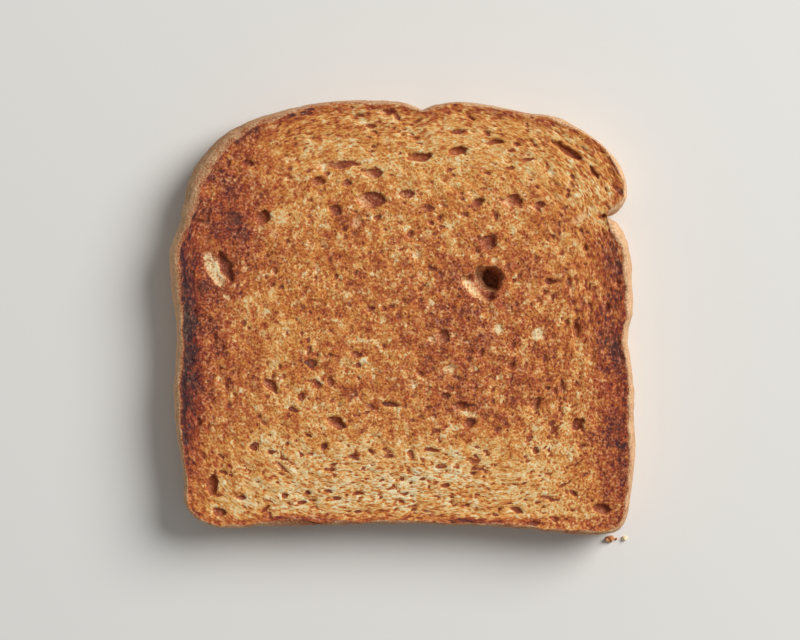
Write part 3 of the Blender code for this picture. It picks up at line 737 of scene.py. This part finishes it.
def add(tree, kind, inputs, output=0, **settings):
    """Adds a node with its settings, and gives one of its outputs. Each input is linked if it comes from
    another node, or else set."""
    node = tree.nodes.new("ShaderNode" + kind)
    for name, value in settings.items():
        setattr(node, name, value)
    for name, value in inputs.items():
        if isinstance(value, bpy.types.NodeSocket):
            tree.links.new(value, node.inputs[name])
        else:
            node.inputs[name].default_value = value
    return node.outputs[output]


def new_material(name):
    """A material with its Principled shader, its tree, and Object coordinates in millimetres."""
    material = bpy.data.materials.new(name)
    material.use_nodes = True
    tree = material.node_tree
    place = add(tree, "TexCoord", {}, "Object")
    scaled = add(tree, "VectorMath", {0: place, "Scale": 1 / MM}, operation="SCALE")
    return material, tree, tree.nodes["Principled BSDF"], scaled


# The browning from 0, untoasted, to 1, charred, and the crumb's colour there.
BROWNING_COLOURS = (
    (0.00, "#e6d8b2"),
    (0.11, "#e4cfa1"),
    (0.20, "#e1c188"),
    (0.31, "#dfa962"),
    (0.44, "#d18b45"),
    (0.58, "#bb6a34"),
    (0.74, "#954b2e"),
    (0.88, "#6e4033"),
    (1.00, "#4b3832"),
)
# Where the sugars browned most the crumb turns brick red: its colours are multiplied by this.
BRICK_TINT = "#e8c8e6"
CREAM_CRUMB = "#efdcb4"
# The dry specks that stand out of the charred crumb, which are partly painted highlights on it.
ASH_AND_HIGHLIGHT = "#c4957a"
# The patterns' sizes in millimetres. Real granules and cell walls are finer, and are drawn as coarse as they
# need to show.
GRANULE_MM = 0.6
NET_MM = 0.95
CELL_MM = 1.0
BRICK_MM = 2.0
BLOTCH_MM = 2.4
DRIFT_MM = 7.0
SPECK_MM = 0.8

crumb, tree, shader, place = new_material("toasted_crumb")
browning, floor_browning_and_shade, opening, pale, fibres, strength, patches = (
    add(tree, "Attribute", {}, "Fac", attribute_name=name)
    for name in ("browning", "floor", "opening", "pale", "fibres", "strength", "patches")
)
grain = add(tree, "Attribute", {}, "Vector", attribute_name="grain")
# How much finer a noise is across the grain where it is drawn out along it.
ACROSS_GRAIN = 0.7


def two_ways(size, detail, most=1.0):
    """A noise even in the middle of the slice, and near its crust drawn out along the grain."""
    even = {"Vector": place, "Scale": 1 / size, "Detail": detail}
    finer = {"Vector": grain, "Scale": 1 / (ACROSS_GRAIN * size), "Detail": detail}
    even, drawn = (add(tree, "TexNoise", inputs) for inputs in (even, finer))
    share = add(tree, "Math", {0: fibres, 1: most}, operation="MULTIPLY")
    return add(tree, "Mix", {"Factor": share, 2: even, 3: drawn})


def weighed(source, middle, weight, onto):
    """How far a pattern swings from its middle, times a weight, added onto a number."""
    swing = add(tree, "Math", {0: source, 1: middle}, operation="SUBTRACT")
    return add(tree, "Math", {0: swing, 1: weight, 2: onto}, operation="MULTIPLY_ADD")


def lay_colours(ramp, colours):
    """Gives a Color Ramp its stops: a place from 0 to 1 and a colour for each."""
    stops = ramp.node.color_ramp.elements
    while len(stops) < len(colours):
        stops.new(1.0)
    for stop, (position, colour) in zip(stops, colours):
        stop.position = position
        stop.color = linear(colour)


def finish(colour, pattern, depth, roughness, specular):
    """Links the colour, sets the gloss and sinks the surface by depth millimetres where a pattern is high."""
    height = add(tree, "Math", {0: 1.0, 1: pattern}, operation="SUBTRACT")
    bump = add(tree, "Bump", {"Height": height, "Strength": 1.0, "Distance": depth * MM})
    tree.links.new(colour, shader.inputs["Base Color"])
    tree.links.new(bump, shader.inputs["Normal"])
    shader.inputs["Roughness"].default_value = roughness
    shader.inputs["Specular IOR Level"].default_value = specular


# In a Map Range node inputs 1 and 2 are where the number starts and ends, and 3 and 4 what it becomes there.
# The web: the crumb is paler on granules and on cell walls, where a noise is near its middle value.
granules = two_ways(GRANULE_MM, 1.0, 0.7)
net = add(tree, "Math", {0: two_ways(NET_MM, 1.0), 1: 0.5}, operation="SUBTRACT")
net = add(tree, "Math", {0: net}, operation="ABSOLUTE")
cells = two_ways(CELL_MM, 1.0)
web = weighed(granules, 0.5, -1.0, weighed(net, 0.07, 1.5, 0.0))
flecks = add(tree, "MapRange", {0: cells, 1: 0.41, 2: 0.35})
fleck = add(tree, "MapRange", {0: fibres, 3: 0.04, 4: 0.14})
# Inside a hollow's torn edge the crumb has its floor's colour, browner and in painted shade.
inside = weighed(cells, 0.5, 0.5, opening)
inside = add(tree, "MapRange", {0: inside, 1: -0.04, 2: 0.08})
base = add(tree, "Mix", {"Factor": inside, 2: browning, 3: floor_browning_and_shade})
less = add(tree, "MapRange", {0: base, 1: 0.35, 2: 0.7, 3: 1.0, 4: 0.3})
fleck = add(tree, "Math", {0: fleck, 1: less}, operation="MULTIPLY")
# The web shows most where the crumb is pale or drawn out, and less where it is charred.
contrast = add(tree, "MapRange", {0: base, 1: 0.24, 2: 0.34, 3: 1.2, 4: 0.82})
calmer = add(tree, "MapRange", {0: fibres, 1: 0.0, 2: 0.4, 3: 0.66, 4: 1.0})
charring = add(tree, "MapRange", {0: base, 1: 0.65, 2: 0.9, 3: 1.0, 4: 0.8})
for share in (calmer, charring, strength):
    contrast = add(tree, "Math", {0: contrast, 1: share}, operation="MULTIPLY")
tone = add(tree, "Math", {0: web, 1: contrast, 2: base}, operation="MULTIPLY_ADD")
tone = add(tree, "Math", {0: flecks, 1: fleck, 2: tone}, operation="MULTIPLY_ADD")
# Drifts, paler blotches, browner stains and pale specks lie over the web. The pale specks are partly painted
# highlights.
drift, blotch, bricks = (
    add(tree, "TexNoise", {"Vector": place, "Scale": 1 / size, "Detail": detail})
    for size, detail in ((DRIFT_MM, 3.0), (BLOTCH_MM, 2.0), (BRICK_MM, 3.0))
)
stain = add(tree, "MapRange", {0: blotch, 1: 0.42, 2: 0.34})
blotch = add(tree, "MapRange", {0: blotch, 1: 0.57, 2: 0.65})
pale_specks_and_highlights = add(tree, "MapRange", {0: two_ways(SPECK_MM, 1.0), 1: 0.58, 2: 0.70})
speck = add(tree, "MapRange", {0: fibres, 1: 0.0, 2: 1.0, 3: -0.18, 4: -0.10})
speck = weighed(blotch, 0.0, -0.15, speck)
drifting = add(tree, "Math", {0: patches, 1: -0.8}, operation="MULTIPLY")
blotching = add(tree, "Math", {0: patches, 1: -0.13}, operation="MULTIPLY")
tone = weighed(stain, 0.0, 0.08, tone)
tone = weighed(blotch, 0.0, blotching, tone)
tone = weighed(drift, 0.5, drifting, tone)
tone = weighed(bricks, 0.5, 0.2, tone)
tone = add(tree, "Math", {0: pale_specks_and_highlights, 1: speck, 2: tone}, operation="MULTIPLY_ADD")
# A hollow's floor is smoother than the face, and creamy in patches where it is pale.
flat = add(tree, "Math", {0: inside, 1: 0.75}, operation="MULTIPLY")
tone = add(tree, "Mix", {"Factor": flat, 2: tone, 3: base})
uneven = add(tree, "Math", {0: web, 1: -2.5, 2: 0.8}, operation="MULTIPLY_ADD")
well_inside = weighed(cells, 0.5, 2.0, opening)
well_inside = add(tree, "MapRange", {0: well_inside, 1: -0.15, 2: 0.62})
# The pale field holds untoasted crumb, and on a hollow's lit wall painted light.
cream = add(tree, "Math", {0: pale, 1: well_inside}, operation="MULTIPLY")
cream = add(tree, "Math", {0: cream, 1: uneven}, operation="MULTIPLY", use_clamp=True)
tone = add(tree, "Math", {0: cream, 1: -0.46, 2: tone}, operation="MULTIPLY_ADD")
ramp = add(tree, "ValToRGB", {"Fac": tone})
lay_colours(ramp, BROWNING_COLOURS)
# Browned crumb turns brick red in patches, and less so inside the hollows.
redder = add(tree, "MapRange", {0: base, 1: 0.25, 2: 0.8, 3: 0.2, 4: 0.65})
redder = weighed(bricks, 0.5, 3.0, weighed(drift, 0.5, 1.6, redder))
browned = add(tree, "MapRange", {0: tone, 1: 0.28, 2: 0.48})
redder = add(tree, "Math", {0: redder, 1: browned}, operation="MULTIPLY", use_clamp=True)
outside = add(tree, "Math", {0: inside, 1: -0.7, 2: 1.0}, operation="MULTIPLY_ADD")
redder = add(tree, "Math", {0: redder, 1: outside}, operation="MULTIPLY")
tint = {"Factor": redder, 6: ramp, 7: linear(BRICK_TINT)}
mixed = add(tree, "Mix", tint, 2, data_type="RGBA", blend_type="MULTIPLY")
# Charred crumb is dusted with dry specks, fainter where it is burnt through. They are partly painted
# highlights.
charred = add(tree, "MapRange", {0: base, 1: 0.42, 2: 0.65, 3: 0.0, 4: 0.6})
burnt_off = add(tree, "MapRange", {0: base, 1: 0.6, 2: 0.85, 3: 1.0, 4: 0.35})
ash_and_highlight_grains = add(tree, "MapRange", {0: granules, 1: 0.54, 2: 0.66})
for share in (burnt_off, ash_and_highlight_grains):
    charred = add(tree, "Math", {0: charred, 1: share}, operation="MULTIPLY")
mixed = add(tree, "Mix", {"Factor": charred, 6: mixed, 7: linear(ASH_AND_HIGHLIGHT)}, 2, data_type="RGBA")
# The blotches on pale crumb are cream too.
calm = add(tree, "MapRange", {0: base, 1: 0.35, 2: 0.65, 3: 0.2, 4: 0.0})
calm = add(tree, "Math", {0: calm, 1: patches}, operation="MULTIPLY")
clouds = add(tree, "Math", {0: blotch, 1: calm}, operation="MULTIPLY")
cream = add(tree, "Math", {0: cream, 1: 0.6, 2: clouds}, operation="MULTIPLY_ADD", use_clamp=True)
mixed = add(tree, "Mix", {"Factor": cream, 6: mixed, 7: linear(CREAM_CRUMB)}, 2, data_type="RGBA")
finish(mixed, web, depth=0.18, roughness=0.72, specular=0.1)
toast_mesh.materials.append(crumb)

# Baked crust: the same dough dried to a skin against the hot tin, matte and finely grained, with faint
# streaks along it. It is tan, with a darker line where the toaster caught its upper edge.
CRUST_COLOURS = (
    # The palest stop is warm orange: painted warm bounce light on the crust's shaded left side.
    (0.00, "#efb58b"),
    (0.16, "#deb288"),
    (0.32, "#c59d75"),
    (0.60, "#ae6d48"),
    (0.85, "#814a31"),
    (1.00, "#573627"),
)
# The grain is drawn as coarse as it needs to show.
CRUST_GRAIN_MM, CRUST_STREAK_MM, CRUST_PATCH_MM = 0.5, 0.7, 3.5

crust, tree, shader, place = new_material("baked_crust")
browning = add(tree, "Attribute", {}, "Fac", attribute_name="browning")
strength = add(tree, "Attribute", {}, "Fac", attribute_name="strength")
along = add(tree, "Attribute", {}, "Vector", attribute_name="grain")
tone = browning
for where, size, weight in (
    (place, CRUST_GRAIN_MM, 1.2),
    (along, CRUST_STREAK_MM, 0.7),
    (place, CRUST_PATCH_MM, 0.6),
):
    pattern = add(tree, "TexNoise", {"Vector": where, "Scale": 1 / size, "Detail": 2.0})
    weight = add(tree, "Math", {0: strength, 1: weight}, operation="MULTIPLY")
    tone = weighed(pattern, 0.5, weight, tone)
ramp = add(tree, "ValToRGB", {"Fac": tone})
lay_colours(ramp, CRUST_COLOURS)
finish(ramp, tone, depth=0.2, roughness=0.7, specular=0.15)
toast_mesh.materials.append(crust)

# The crumbs, which broke off the slice's lower right corner and lie loose beside it. They are uneven flakes
# of the same toasted crumb, and rest on the floor on the side that is pressed flat.

# x, y, length, width and height in millimetres, browning and paleness.
CRUMBS = (
    (52.6, -56.4, 2.4, 1.8, 1.4, 0.68, 0.3),
    (56.2, -56.1, 1.4, 1.1, 0.9, 0.22, 0.9),
    (54.2, -56.3, 0.6, 0.5, 0.5, 0.60, 0.0),
)
CRUMB_ROWS, CRUMB_COLUMNS = 14, 24
# How uneven a crumb's radius is, and how high its middle lies, as a share of its height.
CRUMB_UNEVENNESS, CRUMB_LIFT = 0.2, 0.42


def lump(x, y, length, width, height, seed):
    """A globe of rows and columns between two poles, uneven, and pressed flat where it lies on the floor."""
    down = np.linspace(0, np.pi, CRUMB_ROWS)[:, None]
    around = np.linspace(0, 2 * np.pi, CRUMB_COLUMNS, endpoint=False)[None]
    radius = 1 + CRUMB_UNEVENNESS * mottle((CRUMB_ROWS, CRUMB_COLUMNS), (1, 1), (4, 4), seed)
    radius[[0, -1]] = radius[[0, -1]].mean(axis=1, keepdims=True)
    out = np.sin(down)
    globe = np.stack([out * np.cos(around), out * np.sin(around), np.cos(down) + 0 * around], axis=2)
    globe = globe * radius[..., None] * (length / 2, width / 2, height / 2)
    globe[..., 2] = np.maximum(globe[..., 2] + CRUMB_LIFT * height, 0.0)
    rows = globe[1:-1].reshape(-1, 3)
    return np.vstack([globe[0, :1], rows, globe[-1, :1]]) + (x, y, 0)


def lump_faces():
    """The globe's squares, and a fan of triangles to each pole."""
    number = 1 + np.arange((CRUMB_ROWS - 2) * CRUMB_COLUMNS).reshape(-1, CRUMB_COLUMNS)
    ahead = np.roll(number, -1, axis=1)
    squares = np.stack([number[:-1], number[1:], ahead[1:], ahead[:-1]], axis=2).reshape(-1, 4).tolist()
    top = [[0, a, b] for a, b in zip(number[0].tolist(), ahead[0].tolist())]
    bottom = [[int(number[-1, -1]) + 1, b, a] for a, b in zip(number[-1].tolist(), ahead[-1].tolist())]
    return squares + top + bottom


crumb_points, crumb_faces = [], []
for seed, sizes in enumerate(CRUMBS, start=51):
    base = sum(len(part) for part in crumb_points)
    crumb_points.append(lump(*sizes[:5], seed))
    crumb_faces += [[base + corner for corner in corners] for corners in lump_faces()]
crumbs_mesh = bpy.data.meshes.new("crumbs")
crumbs_mesh.from_pydata((np.vstack(crumb_points) * MM).tolist(), [], crumb_faces)
crumbs_mesh.polygons.foreach_set("use_smooth", np.ones(len(crumbs_mesh.polygons), bool))
per_crumb = len(crumb_points[0])
crumb_browns = np.repeat([sizes[5] for sizes in CRUMBS], per_crumb)
crumb_pales = np.repeat([sizes[6] for sizes in CRUMBS], per_crumb)
plain = np.ones(len(crumb_browns))
for name, values in (
    ("browning", crumb_browns),
    ("floor", crumb_browns),
    ("opening", plain),
    ("pale", crumb_pales),
    ("fibres", 0 * plain),
    ("strength", plain),
    ("patches", plain),
):
    keep(crumbs_mesh, name, values)
keep(crumbs_mesh, "grain", np.vstack(crumb_points))
crumbs_mesh.materials.append(crumb)
crumbs = placed("crumbs", crumbs_mesh)
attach(crumbs, "root")

# The studio: a pale matt floor, one soft light from the upper right, and an even fill. The camera looks
# straight down on the slice.

# The floor reaches this far each way, and lies this far below the slice's underside, in metres.
FLOOR_REACH, FLOOR_DROP = 2, 0.00005
FLOOR_PALE = "#e4e2dd"
# The light's bearing and its height over the floor in degrees, how far off and how wide it is in metres, its
# watts, and how strong the fill is.
KEY_TURN, KEY_RISE = 32.0, 38.0
KEY_AWAY, KEY_WIDTH = 2.0, 1.4
KEY_WATTS, FILL = 48.0, 0.25
# The camera's lens and sensor, how much of the face it sees across, and where it aims, in millimetres.
LENS, SENSOR, VIEW_WIDTH = 135.0, 36.0, 200.0
AIM = (-0.675, -0.675, THICKNESS - FACE_SINK)

floor_mesh = bpy.data.meshes.new("floor")
corners = [(FLOOR_REACH * i, FLOOR_REACH * j, -FLOOR_DROP) for i, j in ((-1, -1), (1, -1), (1, 1), (-1, 1))]
floor_mesh.from_pydata(corners, [], [(0, 1, 2, 3)])
# Matt board: pale, even and without gloss, so that only the slice's soft shadow shows on it.
floor_material, tree, shader, place = new_material("matt_board")
shader.inputs["Base Color"].default_value = linear(FLOOR_PALE)
shader.inputs["Roughness"].default_value = 0.9
shader.inputs["Specular IOR Level"].default_value = 0.2
floor_mesh.materials.append(floor_material)
floor = placed("floor", floor_mesh)

turn, rise = math.radians(KEY_TURN), math.radians(KEY_RISE)
towards = Vector((math.cos(turn) * math.cos(rise), math.sin(turn) * math.cos(rise), math.sin(rise)))
key_data = bpy.data.lights.new("key_light", "AREA")
key_data.shape = "DISK"
key_data.size = KEY_WIDTH
key_data.energy = KEY_WATTS
key = placed("key_light", key_data)
key.location = towards * KEY_AWAY
key.rotation_euler = towards.to_track_quat("Z", "Y").to_euler()

world = bpy.data.worlds.new("studio")
world.use_nodes = True
world.node_tree.nodes["Background"].inputs["Color"].default_value = (1.0, 1.0, 1.0, 1.0)
world.node_tree.nodes["Background"].inputs["Strength"].default_value = FILL
bpy.context.scene.world = world
bpy.context.scene.view_settings.view_transform = "Standard"

camera_data = bpy.data.cameras.new("camera")
camera_data.lens = LENS
camera_data.sensor_width = SENSOR
camera_data.clip_start = 0.05
camera = placed("camera", camera_data)
camera.location = Vector(AIM) * MM + Vector((0, 0, LENS / SENSOR * VIEW_WIDTH * MM))
bpy.context.scene.camera = camera
